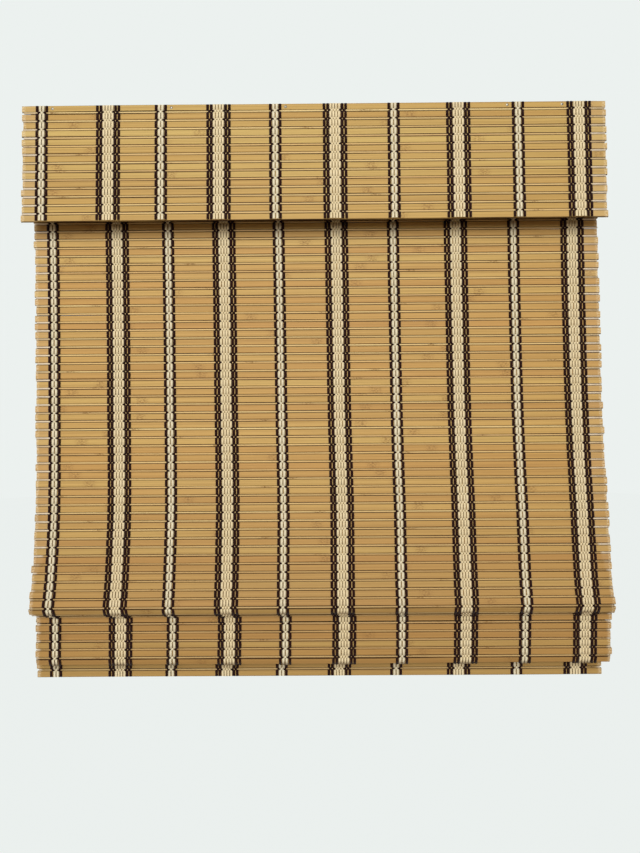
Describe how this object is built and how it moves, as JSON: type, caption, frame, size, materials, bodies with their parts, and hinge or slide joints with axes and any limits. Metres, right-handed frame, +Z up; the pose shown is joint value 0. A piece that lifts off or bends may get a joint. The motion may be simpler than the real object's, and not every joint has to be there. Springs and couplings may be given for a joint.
{
  "type": "bamboo roman blind",
  "caption": "Woven bamboo roman blind with a valance, dark and cream yarn stripes, and folds at its foot, on a wooden headboard with wall brackets.",
  "frame": {"origin": "on the wall plane, midway between the two bracket holes", "axes": "+Z up, +X to the right seen from the front, the front faces -Y"},
  "size_m": [0.603, 0.0555, 0.5996],
  "materials": {
    "bamboo": "satin, lengthwise grain",
    "dark_yarn": "matte twisted yarn",
    "cream_yarn": "matte twisted yarn",
    "timber": "planed softwood",
    "bright_steel": "bright",
    "zinc_plate": "zinc plated",
    "brass_wire": "plated wire",
    "ring_plastic": "moulded",
    "lock_plastic": "moulded",
    "roller_metal": "knurled"
  },
  "bodies": {
    "blind": {"headboard": "timber", "cleat": "timber", "cleat_screws": "bright_steel", "valance_mat": "bamboo", "valance_dark_yarn": "dark_yarn", "valance_cream_yarn": "cream_yarn", "valance_tacks": "bright_steel", "shade_mat": "bamboo", "shade_dark_yarn": "dark_yarn", "shade_cream_yarn": "cream_yarn", "shade_staples": "bright_steel", "bracket_left": "zinc_plate", "bracket_right": "zinc_plate", "bracket_screws": "bright_steel", "screw_eye_left": "brass_wire", "screw_eye_right": "brass_wire", "lift_rings_left": "ring_plastic", "lift_rings_right": "ring_plastic", "cord_lock_body": "lock_plastic", "cord_lock_screws": "bright_steel", "bottom_batten": "timber"},
    "lock_roller": {"cord_lock_roller": "roller_metal"}
  },
  "joints": [
    {"name": "roller_slide", "type": "slide", "parent": "blind", "child": "lock_roller", "axis": [0.766, 0, 0.6428], "range_m": [0, 0.004]}
  ]
}
